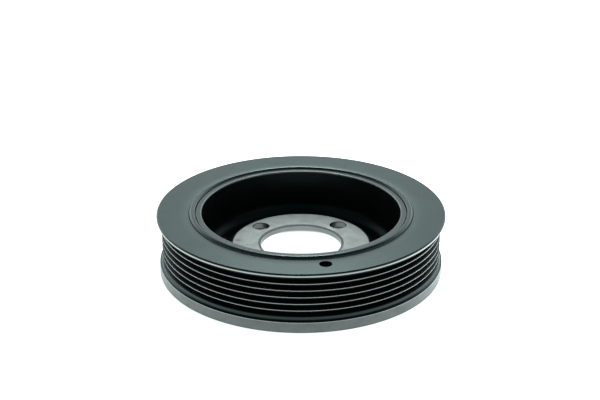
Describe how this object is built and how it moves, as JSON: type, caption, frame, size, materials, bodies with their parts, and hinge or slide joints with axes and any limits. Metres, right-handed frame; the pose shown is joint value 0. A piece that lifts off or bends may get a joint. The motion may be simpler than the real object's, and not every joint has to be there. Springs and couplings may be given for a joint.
{
  "type": "harmonic balancer",
  "caption": "Crankshaft harmonic balancer with a pressed cup hub, a rubber damper sleeve and an iron inertia ring with multi-rib belt grooves.",
  "frame": {"origin": "centre of the inertia ring's rear face, the face that it rests on", "axes": "+Z along the shaft axis, towards the open side of the hub's cup; the hole drilled in the ring's front face lies towards -Y"},
  "size_m": [0.1488, 0.1488, 0.0328],
  "materials": {
    "hub_paint": "semi-gloss black paint on pressed steel, with the pad face machined bare",
    "ring_paint": "satin black paint on cast iron, with the belt ribs and both flanges turned bare",
    "damper_rubber": "black rubber, matt"
  },
  "bodies": {
    "root": {"hub": "hub_paint", "inertia_ring": "ring_paint", "rubber_sleeve": "damper_rubber"}
  },
  "joints": []
}
